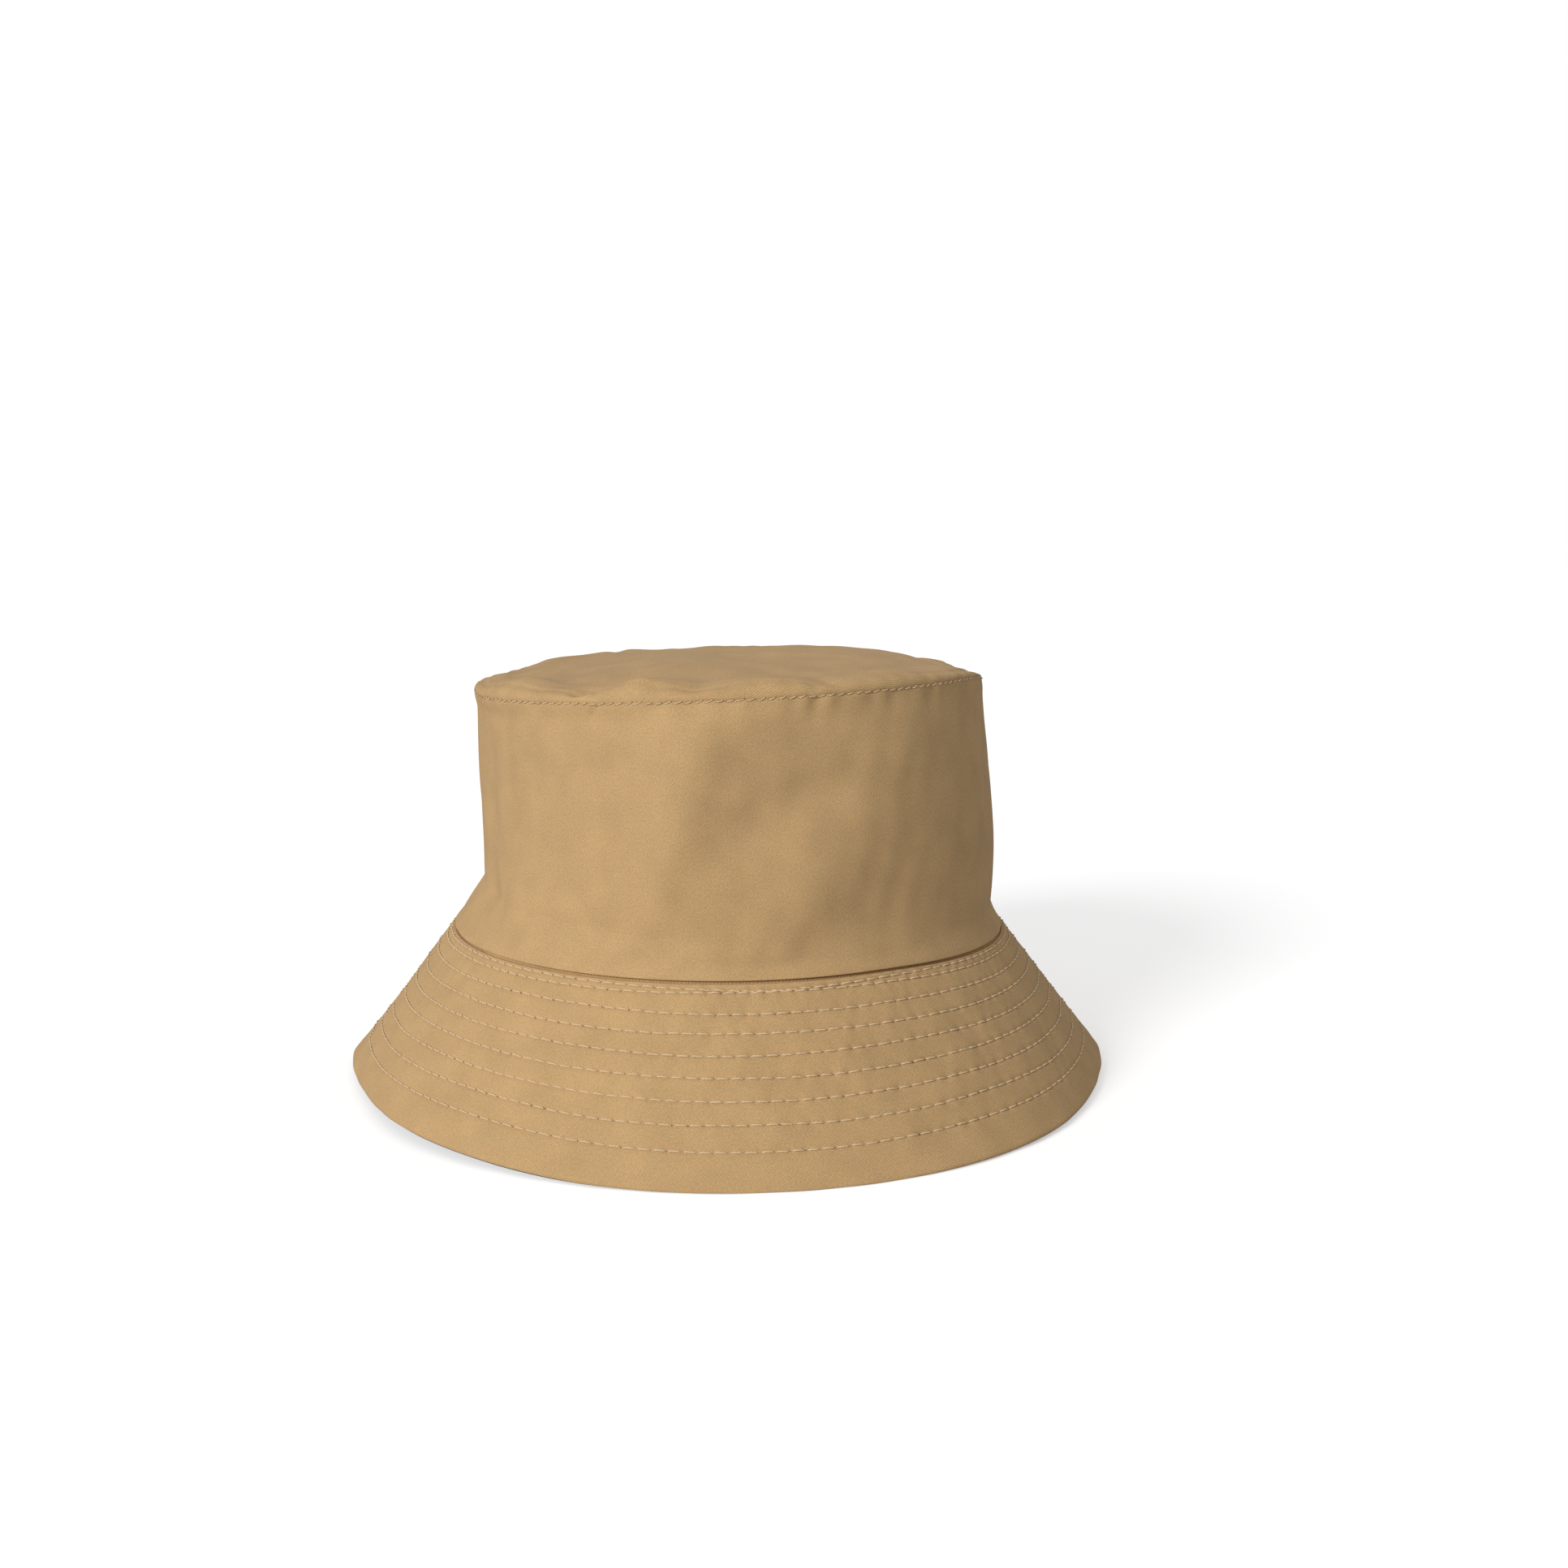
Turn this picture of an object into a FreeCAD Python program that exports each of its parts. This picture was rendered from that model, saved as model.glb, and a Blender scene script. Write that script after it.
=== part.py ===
"""Reversible cotton bucket hat, in millimetres.

+Z is up, the hat's front faces -Y, and the origin is the middle of the footprint on the plane
that the brim's edge rests on. Two complete shells, an outer one and a lining, are nested and
joined at the brim's edge, with their seam allowances in the gap between them. Every level
section is an ellipse, so a surface is a list of stations (height, half width, half length)
with straight lines between them, and a piece of cloth is the ring between one such surface
and another just inside it.
"""

import FreeCAD
import Part
import math
import os

Vector = FreeCAD.Vector

# Head opening and crown
HEAD_CIRCUMFERENCE = 580.0
OVAL_RATIO = 1.13
CROWN_HEIGHT = 79.0
CROWN_TOP_INSET = 7.4
CROWN_TAPER = 0.046
KICK_HEIGHT = 7.0
TIP_DOME = 8.2
LINING_DROP = 2.4

# Brim
BRIM_REACH_SIDE = 35.2
BRIM_REACH_FRONT = 33.0
BRIM_DROP = 49.4

# Cloth, seams and the gaps between neighbouring layers
CLOTH = 0.45
GAP = 0.3
INTERLINING = 0.6
SEAM_ALLOWANCE = 8.0
HALF_SEAM_GAP = 0.15
INTERLINING_EDGE_GAP = 3.0

# Threads: the rows that show lie on the cloth, the others lie in the gaps
TOPSTITCH_RADIUS = 0.2
SEAM_THREAD_RADIUS = 0.12
THREAD_SIDES = 8
TOPSTITCH_LIFT = 0.25
TIP_ROW_BELOW_EDGE = 1.0
SEAM_ROW_BELOW_EDGE = 0.8
EDGE_SEAM_INSET = 1.2
SIDE_THREAD_START = 1.5

# Stitch rows on the brim, measured from the join down the slope. The first lies close to the
# join, and the others are spaced a little wider towards the edge.
FIRST_ROW = 1.6
SECOND_ROW = 3.5
ROW_PITCH = 5.95
PITCH_GROWTH = 0.23
PITCHED_ROWS = 8

# Modelling limits
BIG = 400.0
BITE = 0.08
SEWING = 1e-4

# Depth of each layer of the crown wall, inward from its outer surface
TIP_ALLOWANCE_DEPTH = CLOTH + GAP
LINING_TIP_DEPTH = TIP_ALLOWANCE_DEPTH + CLOTH + GAP
LINING_DEPTH = LINING_TIP_DEPTH + CLOTH + GAP
WALL = LINING_DEPTH + CLOTH

# Depth of each layer of the brim, square to its slope. Near the join it also holds the crown's
# seam allowances, above and below the interlining.
JOIN_ALLOWANCE_DEPTH = CLOTH + GAP
NEAR_INTERLINING_DEPTH = JOIN_ALLOWANCE_DEPTH + CLOTH + GAP
LINING_ALLOWANCE_DEPTH = NEAR_INTERLINING_DEPTH + INTERLINING + GAP
NEAR_UNDER_DEPTH = LINING_ALLOWANCE_DEPTH + CLOTH + 2 * GAP
FAR_INTERLINING_DEPTH = CLOTH + GAP
FAR_UNDER_DEPTH = FAR_INTERLINING_DEPTH + INTERLINING + GAP

BRIM_SLANT = math.hypot(BRIM_REACH_SIDE, BRIM_DROP)
LEVEL_PER_DEPTH = BRIM_SLANT / BRIM_DROP
ALLOWANCE_SHARE = SEAM_ALLOWANCE / BRIM_SLANT
LINING_TOP = CROWN_HEIGHT - LINING_DROP - GAP
NEAR_SHARE = 0.17
FAR_SHARE = 0.32
INTERLINING_END_SHARE = 1 - INTERLINING_EDGE_GAP / BRIM_SLANT
BRIM_SHARES = (0.0, NEAR_SHARE, FAR_SHARE, 1.0)
CROWN_LEVELS = (0.0, 1.2, 2.6, 4.2, 6.2, 8.8, 12.0, 16.5, 24.0, CROWN_HEIGHT)

# The inside of the crown at the join is an ellipse with the head's circumference. The crown's
# foot stands inside the brim's inner edge, so that its allowance can turn out under the brim.
FOOT_INSET = JOIN_ALLOWANCE_DEPTH * LEVEL_PER_DEPTH
INNER_HALF_WIDTH = HEAD_CIRCUMFERENCE / (2 * math.pi * math.sqrt((1 + OVAL_RATIO**2) / 2))
JOIN_HALF_WIDTH = INNER_HALF_WIDTH + WALL + FOOT_INSET
JOIN_HALF_LENGTH = INNER_HALF_WIDTH * OVAL_RATIO + WALL + FOOT_INSET
WALL_RATIO = JOIN_HALF_LENGTH / JOIN_HALF_WIDTH
TOP_HALF_WIDTH = JOIN_HALF_WIDTH - CROWN_TOP_INSET
KICK = CROWN_TOP_INSET - CROWN_TAPER * CROWN_HEIGHT - FOOT_INSET
JOIN_Z = BRIM_DROP
TOP_Z = JOIN_Z + CROWN_HEIGHT
DOME_RADIUS = (TOP_HALF_WIDTH**2 + TIP_DOME**2) / (2 * TIP_DOME)


# Shared construction


def ellipse(z, half_width, half_length):
    """Closed ellipse at height z, longer along Y than along X."""
    centre = Vector(0, 0, z)
    return Part.Ellipse(Vector(0, half_length, z), Vector(half_width, 0, z), centre).toShape()


def skin(stations):
    """Surface through a list of stations, open at both ends."""
    return Part.makeLoft([Part.Wire([ellipse(*station)]) for station in stations], False, True)


def rim(surface, height):
    """The closed edge of a surface at this height, as a wire."""
    edges = [edge for edge in surface.Edges if edge.isClosed()]
    return Part.Wire([min(edges, key=lambda edge: abs(edge.BoundBox.Center.z - height))])


def closed_solid(faces):
    """Solid bounded by these faces, which meet along their edges."""
    sewn = Part.makeCompound(faces)
    sewn.sewShape()
    solid = Part.makeSolid(sewn.Shells[0])
    solid.fix(SEWING, SEWING, SEWING)
    return solid


def ring_between(outer, inner):
    """Closed ring between two surfaces that end at the same two heights."""
    surfaces = [skin(outer), skin(inner)]
    ends = (outer[0][0], outer[-1][0])
    caps = [Part.Face([rim(surface, z) for surface in surfaces]) for z in ends]
    return closed_solid(surfaces[0].Faces + surfaces[1].Faces + caps)


def half(ring, front):
    """The part of a ring in front of the side seams, or the part behind them."""
    low_y = -BIG if front else HALF_SEAM_GAP
    corner = Vector(-BIG, low_y, -BIG)
    return ring.common(Part.makeBox(2 * BIG, BIG - HALF_SEAM_GAP, 2 * BIG, corner))


def side_threads(stations):
    """A thread at each side of the hat, in the middle of the side seam, through the stations."""
    threads = []
    for side in (-1, 1):
        centres = [Vector(side * width, 0, z) for z, width, _ in stations]
        sections = [Part.Wire([Part.makeCircle(SEAM_THREAD_RADIUS, c)]) for c in centres]
        threads.append(Part.makeLoft(sections, True, True))
    return Part.makeCompound(threads)


def thread_round(station, radius):
    """Thread that runs round the hat through a station, with an eight-sided section."""
    z, half_width, half_length = station
    corners = []
    for corner in range(THREAD_SIDES + 1):
        turn = 2 * math.pi * corner / THREAD_SIDES
        out = radius * math.cos(turn)
        corners.append((z + radius * math.sin(turn), half_width + out, half_length + out))
    return closed_solid(skin(corners).Faces)


# Crown


def crown_half_width(height):
    """Half width of the crown at this height above the join. It kicks out near the join."""
    wall = TOP_HALF_WIDTH + CROWN_TAPER * (CROWN_HEIGHT - height)
    return wall + KICK * math.exp(-height / KICK_HEIGHT)


def crown_surface(depth, low=0.0, high=CROWN_HEIGHT):
    """Stations of the crown wall, this deep, between two heights above the join."""
    levels = [low] + [level for level in CROWN_LEVELS if low < level < high] + [high]
    widths = [crown_half_width(level) for level in levels]
    return [(JOIN_Z + h, w - depth, w * WALL_RATIO - depth) for h, w in zip(levels, widths)]


def crown_panel_surface(depth, high, allowance_depth):
    """Crown wall and the allowance below it, which turns out along the brim's slope."""
    return [brim_station(ALLOWANCE_SHARE, allowance_depth)] + crown_surface(depth, 0.0, high)


def side_allowance(depth, step, front, high):
    """A side panel's edge folded back against it at both side seams: the strip and the fold.

    The fold bites into the panel and the strip without sharing a face with either.
    """
    fold_top = min(depth, depth + step) + BITE
    fold_end = max(depth, depth + step) + CLOTH - BITE
    strip = ring_between(crown_surface(depth + step), crown_surface(depth + step + CLOTH))
    fold = ring_between(crown_surface(fold_top), crown_surface(fold_end))
    low_z = JOIN_Z + GAP
    height = high - SEAM_ALLOWANCE - 2 * GAP
    strip_y = -SEAM_ALLOWANCE if front else HALF_SEAM_GAP
    fold_y = -HALF_SEAM_GAP - CLOTH if front else HALF_SEAM_GAP + BITE
    reach = SEAM_ALLOWANCE - HALF_SEAM_GAP
    strip_box = Part.makeBox(2 * BIG, reach, height, Vector(-BIG, strip_y, low_z))
    fold_corner = Vector(-BIG, fold_y, low_z + BITE)
    fold_box = Part.makeBox(2 * BIG, CLOTH - BITE, height - 2 * BITE, fold_corner)
    return [strip.common(strip_box), fold.common(fold_box)]


def crown_side(depth, high, allowance_depth, step, front):
    """One half of a crown wall, with its allowances at the join and at both side seams."""
    ring = ring_between(
        crown_panel_surface(depth, high, allowance_depth),
        crown_panel_surface(depth + CLOTH, high, allowance_depth + CLOTH),
    )
    return half(ring, front).multiFuse(side_allowance(depth, step, front, high))


def domed_plug(depth, drop, low_z):
    """Solid inside the wall at this depth, closed above by the dome lowered by drop."""
    dome_centre = Vector(0, 0, TOP_Z + TIP_DOME - DOME_RADIUS - drop)
    stretch = FreeCAD.Matrix()
    stretch.scale(1.0, WALL_RATIO, 1.0)
    dome = Part.makeSphere(DOME_RADIUS, dome_centre).transformGeometry(stretch)
    edge = crown_surface(depth, low_z - JOIN_Z)
    above = (TOP_Z + 2 * TIP_DOME, *edge[-1][1:])
    wires = [Part.Wire([ellipse(*station)]) for station in (edge[0], edge[-1], above)]
    return Part.makeLoft(wires, True, True).common(dome)


def crown_tip(depth, drop):
    """Oval top panel: a shallow dome whose edge turns down into the wall as its allowance."""
    low_z = TOP_Z - drop - SEAM_ALLOWANCE
    outside = domed_plug(depth, drop, low_z)
    inside = domed_plug(depth + CLOTH, drop + CLOTH, low_z - SEAM_ALLOWANCE)
    return outside.cut(inside)


def crown_row(height, depth, radius):
    """Row of thread round the crown, this far above the join."""
    return thread_round(crown_surface(depth, height)[0], radius)


def crown_side_threads(depth, high):
    """The two upright threads that close the crown's side seams."""
    stations = crown_surface(depth, SIDE_THREAD_START, high - SEAM_ALLOWANCE - GAP)
    return side_threads(stations)


# Brim


def brim_station(share, depth=0.0):
    """Station of the brim between the join (share 0) and the edge (share 1), this deep."""
    inset = depth * LEVEL_PER_DEPTH
    return (
        JOIN_Z * (1 - share),
        JOIN_HALF_WIDTH + BRIM_REACH_SIDE * share - inset,
        JOIN_HALF_LENGTH + BRIM_REACH_FRONT * share - inset,
    )


def depth_at(share, near_depth, far_depth):
    """Depth of a layer that lies closer under the top once past the join's allowances."""
    eased = min(max((share - NEAR_SHARE) / (FAR_SHARE - NEAR_SHARE), 0.0), 1.0)
    return near_depth + (far_depth - near_depth) * eased


def brim_layer(near_depth, far_depth, thickness, last=1.0):
    """Ring of brim cloth from the join to a share of the slope."""
    shares = [share for share in BRIM_SHARES if share < last] + [last]
    surfaces = []
    for extra in (0.0, thickness):
        depths = [depth_at(share, near_depth, far_depth) + extra for share in shares]
        surfaces.append([brim_station(s, d) for s, d in zip(shares, depths)])
    return ring_between(*surfaces)


def brim_row(distance, depth, radius):
    """Row of thread round the brim, this far down the slope."""
    return thread_round(brim_station(distance / BRIM_SLANT, depth), radius)


def row_distances():
    """Distance of each row from the join, down the slope."""
    distances = [FIRST_ROW]
    for n in range(PITCHED_ROWS):
        distances.append(SECOND_ROW + ROW_PITCH * n + PITCH_GROWTH * n * (n - 1) / 2)
    return distances


def brim_topstitch(near_depth, far_depth, lift):
    """All the rows that show on one face of the brim."""
    rows = []
    for distance in row_distances():
        depth = depth_at(distance / BRIM_SLANT, near_depth, far_depth) + lift
        rows.append(brim_row(distance, depth, TOPSTITCH_RADIUS))
    return Part.makeCompound(rows)


def brim_side_threads():
    """Threads that close the brim's side seams, in the upper and in the under cloth."""
    shares = (SIDE_THREAD_START / BRIM_SLANT, NEAR_SHARE, FAR_SHARE, INTERLINING_END_SHARE)
    rows = []
    for near, far in ((0.0, 0.0), (NEAR_UNDER_DEPTH, FAR_UNDER_DEPTH)):
        depths = [depth_at(share, near, far) + CLOTH / 2 for share in shares]
        rows.append(side_threads([brim_station(s, d) for s, d in zip(shares, depths)]))
    return Part.makeCompound(rows)


def cloth_pieces():
    """The panels of both shells and the stiffener between their brims."""
    upper = brim_layer(0.0, 0.0, CLOTH)
    stiffener = brim_layer(
        NEAR_INTERLINING_DEPTH, FAR_INTERLINING_DEPTH, INTERLINING, INTERLINING_END_SHARE
    )
    under = brim_layer(NEAR_UNDER_DEPTH, FAR_UNDER_DEPTH, CLOTH)
    step = CLOTH + GAP
    pieces = {
        "crown_tip_outer": crown_tip(TIP_ALLOWANCE_DEPTH, 0.0),
        "crown_tip_lining": crown_tip(LINING_TIP_DEPTH, LINING_DROP),
    }
    for end, front in (("front", True), ("back", False)):
        pieces[f"crown_side_{end}_outer"] = crown_side(
            0.0, CROWN_HEIGHT, JOIN_ALLOWANCE_DEPTH, step, front
        )
        pieces[f"crown_side_{end}_lining"] = crown_side(
            LINING_DEPTH, LINING_TOP, LINING_ALLOWANCE_DEPTH, -step, front
        )
        pieces[f"brim_upper_{end}"] = half(upper, front)
        pieces[f"brim_interlining_{end}"] = half(stiffener, front)
        pieces[f"brim_under_{end}"] = half(under, front)
    return pieces


def thread_pieces():
    """The rows of topstitching that show, and the seam threads between the layers."""
    tip_row = CROWN_HEIGHT - TIP_ROW_BELOW_EDGE
    lining_tip_row = LINING_TOP - TIP_ROW_BELOW_EDGE
    tip_seam = CROWN_HEIGHT - SEAM_ROW_BELOW_EDGE
    lining_tip_seam = LINING_TOP - SEAM_ROW_BELOW_EDGE
    outer_gap = CLOTH + GAP / 2
    lining_gap = LINING_DEPTH - GAP / 2
    edge_seam = BRIM_SLANT - EDGE_SEAM_INSET
    edge_gap = (CLOTH + FAR_UNDER_DEPTH) / 2
    wall_inside = LINING_DEPTH + CLOTH + TOPSTITCH_LIFT
    thin = SEAM_THREAD_RADIUS
    return {
        "tip_topstitch_outer": crown_row(tip_row, -TOPSTITCH_LIFT, TOPSTITCH_RADIUS),
        "tip_topstitch_lining": crown_row(lining_tip_row, wall_inside, TOPSTITCH_RADIUS),
        "tip_seam_thread_outer": crown_row(tip_seam, outer_gap, thin),
        "tip_seam_thread_lining": crown_row(lining_tip_seam, lining_gap, thin),
        "join_seam_thread_outer": brim_row(FIRST_ROW / 2, outer_gap, thin),
        "join_seam_thread_lining": brim_row(FIRST_ROW / 2, NEAR_UNDER_DEPTH - GAP / 2, thin),
        "side_seam_threads_outer": crown_side_threads(CLOTH / 2, CROWN_HEIGHT),
        "side_seam_threads_lining": crown_side_threads(LINING_DEPTH + CLOTH / 2, LINING_TOP),
        "brim_side_seam_threads": brim_side_threads(),
        "brim_edge_seam_thread": brim_row(edge_seam, edge_gap, thin),
        "brim_topstitch_upper": brim_topstitch(0.0, 0.0, -TOPSTITCH_LIFT),
        "brim_topstitch_under": brim_topstitch(
            NEAR_UNDER_DEPTH, FAR_UNDER_DEPTH, CLOTH + TOPSTITCH_LIFT
        ),
    }


os.makedirs("parts", exist_ok=True)
for name, shape in {**cloth_pieces(), **thread_pieces()}.items():
    shape.exportStep(f"parts/{name}.step")
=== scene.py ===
"""Visual model of the bucket hat: cloth panels with their folds, sewn channels and stitches.

Every shape is worked out in millimetres from the sizes of the CAD nodes and scaled to metres when
its mesh is made. A place on the hat is an angle round it and a distance along its cloth. The angle
is 0 at the hat's front and grows towards +X, and -90 and 90 degrees are the side seams.
"""

import math

import bmesh
import bpy
import numpy as np
from mathutils import Matrix, Vector


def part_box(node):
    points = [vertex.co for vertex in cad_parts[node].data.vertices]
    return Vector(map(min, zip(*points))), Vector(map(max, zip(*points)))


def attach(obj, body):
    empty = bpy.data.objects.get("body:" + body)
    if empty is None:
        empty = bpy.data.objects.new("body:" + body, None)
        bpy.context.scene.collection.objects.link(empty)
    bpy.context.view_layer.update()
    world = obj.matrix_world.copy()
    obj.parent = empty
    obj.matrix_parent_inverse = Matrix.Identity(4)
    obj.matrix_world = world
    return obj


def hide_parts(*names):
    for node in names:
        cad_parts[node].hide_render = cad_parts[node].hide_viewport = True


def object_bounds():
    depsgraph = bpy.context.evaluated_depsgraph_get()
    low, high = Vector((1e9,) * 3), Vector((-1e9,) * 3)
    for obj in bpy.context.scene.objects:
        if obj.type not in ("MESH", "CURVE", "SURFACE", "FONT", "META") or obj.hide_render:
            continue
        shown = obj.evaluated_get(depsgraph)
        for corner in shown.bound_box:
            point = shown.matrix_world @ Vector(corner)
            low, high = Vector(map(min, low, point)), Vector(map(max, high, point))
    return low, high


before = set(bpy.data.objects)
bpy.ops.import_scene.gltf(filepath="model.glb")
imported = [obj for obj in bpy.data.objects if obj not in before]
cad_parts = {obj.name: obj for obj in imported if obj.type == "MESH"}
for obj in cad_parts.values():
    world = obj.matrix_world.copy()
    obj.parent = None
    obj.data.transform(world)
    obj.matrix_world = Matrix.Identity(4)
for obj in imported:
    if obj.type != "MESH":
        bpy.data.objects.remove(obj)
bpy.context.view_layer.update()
MM = 0.001
BODY = "root"
QUARTER = math.pi / 2


def reach(node, axis):
    """Lowest and highest coordinate of a CAD node along an axis, in millimetres."""
    low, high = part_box(node)
    return low[axis] / MM, high[axis] / MM


# Sizes from the CAD frame

JOIN_Z = reach("brim_upper_front", 2)[1]
JOIN_WIDTH = reach("join_seam_thread_outer", 0)[1]
JOIN_LENGTH = reach("join_seam_thread_outer", 1)[1]
EDGE_WIDTH = reach("brim_upper_front", 0)[1]
EDGE_LENGTH = -reach("brim_upper_front", 1)[0]
SEAM_WIDTH = reach("tip_topstitch_outer", 0)[1]
SEAM_LENGTH = reach("tip_topstitch_outer", 1)[1]
SEAM_Z = sum(reach("tip_topstitch_outer", 2)) / 2
TIP_Z = reach("crown_tip_outer", 2)[1]
WALL = SEAM_WIDTH - reach("tip_topstitch_lining", 0)[1]

CROWN_HEIGHT = SEAM_Z - JOIN_Z
BRIM_REACH = EDGE_WIDTH - JOIN_WIDTH
BRIM_SLOPE = math.hypot(BRIM_REACH, JOIN_Z)
CLOTH = 0.45

# How the cloth hangs, in millimetres

LEAN_TOP = 1.5
LEAN_MIDDLE = 3.5
TOP_NARROWER = 0.9
FRONT_KICK = 0.8
TILT = 3.0
EDGE_ARCH = 3.4
KICK_SLOPE = 0.35
BRIM_HALF_THICKNESS = 1.05
ALLOWANCE_BULK = 1.5
JOIN_DIP = 0.7
DIP_WIDTH = 0.3
CROWN_ALLOWANCE = 6.0
TOP_TUCK = 2.0
LINING_FOOT = 2.0

# How sharply the cloth bends where it is pressed up on to the table, per millimetre
TABLE_PRESS = 2.0

# Half of the slit at each side seam. The lining's is all but closed, so that no light shows
# through both layers.
OUTER_SEAM_GAP = 0.12
LINING_SEAM_GAP = 0.01

# The tip's rolled edge: its size, the angle that it starts from and its length along the cloth
TIP_CORNER_IN = 3.0
TIP_CORNER_UP = 2.4
TIP_CORNER_START = -0.5
TIP_CORNER_ARC = 4.6
TIP_RADIUS = SEAM_WIDTH - TIP_CORNER_IN
TIP_SPAN = TIP_CORNER_ARC + TIP_RADIUS

# Stitching

FIRST_ROW = 1.6
SECOND_ROW = 3.5
ROW_PITCH = 5.95
PITCH_GROWTH = 0.23
PITCHED_ROWS = 8
BRIM_STITCH = 4.35
TIP_STITCH = 3.1
ROW_PHASE = 0.37
THREAD_RADIUS = 0.23
HIDDEN_RADIUS = 0.12
STITCH_POINTS = 7
SIDE_STITCH_POINTS = 5
TUBE_SIDES = 6
CHANNEL_DEPTH = 0.26
CHANNEL_WIDTH = 0.6
NEEDLE_HOLE_DEPTH = 0.55
NEEDLE_HOLE_WIDTH = 0.5
LINING_ROW_DROP = 5.0

# Mesh spacing

DENSITY = 1.0


def steps(low, high, spacing):
    """Evenly spaced values from low to high, about this far apart."""
    count = max(int(math.ceil((high - low) / spacing * DENSITY)), 4)
    return np.linspace(low, high, count + 1)


def smooth(low, high, value):
    """Smooth step from 0 at low to 1 at high."""
    t = np.clip((value - low) / (high - low), 0.0, 1.0)
    return t * t * (3 - 2 * t)


def hump(distance, width):
    """Bell curve, 1 where distance is 0."""
    return np.exp(-((distance / width) ** 2))


def away(angle, place):
    """Angle measured from a place round the hat, from -pi to pi."""
    return (angle - place + math.pi) % (2 * math.pi) - math.pi


def near(angle, place, width):
    """Bell curve round a place on the hat, with its half width as an angle."""
    return hump(away(angle, place), width)


def ripple(angle, along, seed, count, turns, waves):
    """Smooth random field, closed round the hat, with a standard deviation of about 1.

    turns is the range of waves round the hat, and waves the range of radians per millimetre.
    """
    draw = np.random.default_rng(seed)
    total = np.zeros(np.broadcast(angle, along).shape)
    for _ in range(count):
        round_hat = draw.integers(turns[0], turns[1] + 1)
        up = draw.uniform(waves[0], waves[1]) * draw.choice((-1, 1))
        total += draw.normal() * np.cos(round_hat * angle + up * along + draw.uniform(0, 2 * math.pi))
    return total / math.sqrt(count / 2)


def oval(angle, half_width, half_length, height):
    """Points of an ellipse round the hat."""
    x = half_width * np.sin(angle)
    y = -half_length * np.cos(angle)
    return np.stack(np.broadcast_arrays(x, y, height), -1)


def outward(angle, half_width, half_length):
    """Level direction square to an ellipse round the hat."""
    x = np.sin(angle) / half_width
    y = -np.cos(angle) / half_length
    size = np.hypot(x, y)
    return np.stack(np.broadcast_arrays(x / size, y / size, 0.0), -1)


def column(values):
    """Adds an axis, so that one value multiplies a whole point."""
    return np.asarray(values)[..., None]


# Crown


def crown_dents():
    """Folds of the crown wall: angle, height, direction, half length, half width, depth.

    The direction is in degrees from level, rising towards the hat's left. The rest is in
    millimetres, and a negative depth is a bulge.
    """
    return (
        (17, 51, -84, 7, 12.4, 1.5),
        (3, 42, 22, 13, 7.5, 1.6),
        (-10, 23, 69, 24, 6.7, 0.8),
        (30, 13, -22, 13, 7.0, 1.5),
        (12, 17, 52, 27, 10.0, -1.4),
        (-13, 41, 42, 23, 19.2, -3.0),
        (57, 50, -71, 23, 16.0, -1.3),
        (-51, 18, 79, 15, 15.2, -1.3),
        (37, 64, 86, 12, 20.6, -1.7),
        (-10, 52, 78, 33, 12.0, -3.0),
        (-46, 13, -1, 20, 7.6, -1.5),
        (-48, 19, -43, 9, 14.0, -1.3),
        (-66, 19, -89, 30, 6.5, 1.0),
        (-21, 36, 77, 27, 10.2, 1.1),
        (-2, 69, 6, 21, 11.3, -2.6),
        (59, 3, 45, 23, 13.7, -1.2),
        (-27, 59, 8, 13, 5.9, 0.4),
        (-26, 18, 9, 32, 11.8, -1.6),
        (8, 2, 32, 29, 11.6, 2.3),
        (40, 21, -40, 21, 11.1, 1.3),
        (-66, 53, 45, 19, 18.0, 1.8),
        (92, 14, 90, 24, 20.0, -2.7),
        (118, 44, 48, 24, 9.0, 1.7),
        (140, 30, -38, 20, 8.0, 1.4),
        (170, 52, 30, 22, 9.0, 1.8),
        (-160, 28, -50, 20, 8.0, 1.6),
        (-128, 50, 62, 24, 9.0, 1.7),
    )


def tip_puckers():
    """Gathers at the tip seam: angle, half width, depth."""
    return (
        (-27.3, 1.5, 1.15),
        (-43, 2.0, 0.45),
        (-13.6, 2.2, 0.5),
        (17.4, 2.6, 0.5),
        (35, 3.0, 0.3),
        (64, 2.4, 0.5),
        (-71, 2.4, 0.5),
        (108, 1.8, 0.9),
        (133, 2.4, 0.6),
        (163, 2.2, 0.8),
        (-149, 2.0, 0.9),
        (-118, 2.6, 0.5),
    )


def tip_billows():
    """Swells of the top panel inside its seam: angle, distance from the seam, slant, half length
    in from the seam, half width, height."""
    return (
        (-56, 10, 0.3, 8, 15, 1.6),
        (-32, 6, 0.5, 6, 4, -1.8),
        (-19, 7, 0.6, 6, 9, 2.4),
        (-6, 9, 0.2, 7, 5, -1.0),
        (7, 8, -0.2, 7, 12, 1.5),
        (20, 6, -0.3, 5, 4, -1.0),
        (38, 9, 0.2, 8, 14, 0.9),
        (78, 10, 0.1, 8, 9, -0.8),
        (110, 8, 0.3, 7, 10, 0.9),
        (131, 7, 0.4, 6, 4, -1.2),
        (152, 9, 0.2, 7, 12, 0.5),
        (138, 9, 0.0, 13, 34, -1.3),
        (-165, 7, 0.3, 6, 8, 1.5),
        (-147, 7, 0.4, 6, 4, -1.4),
        (-125, 9, 0.2, 8, 13, 1.2),
        (-148, 12, 0.0, 9, 16, 1.4),
        (-92, 8, 0.2, 6, 9, 0.8),
    )


def turned(angle, degrees):
    """Arc round the crown from a place given in degrees."""
    return away(angle, math.radians(degrees)) * (SEAM_WIDTH + SEAM_LENGTH) / 2


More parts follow.
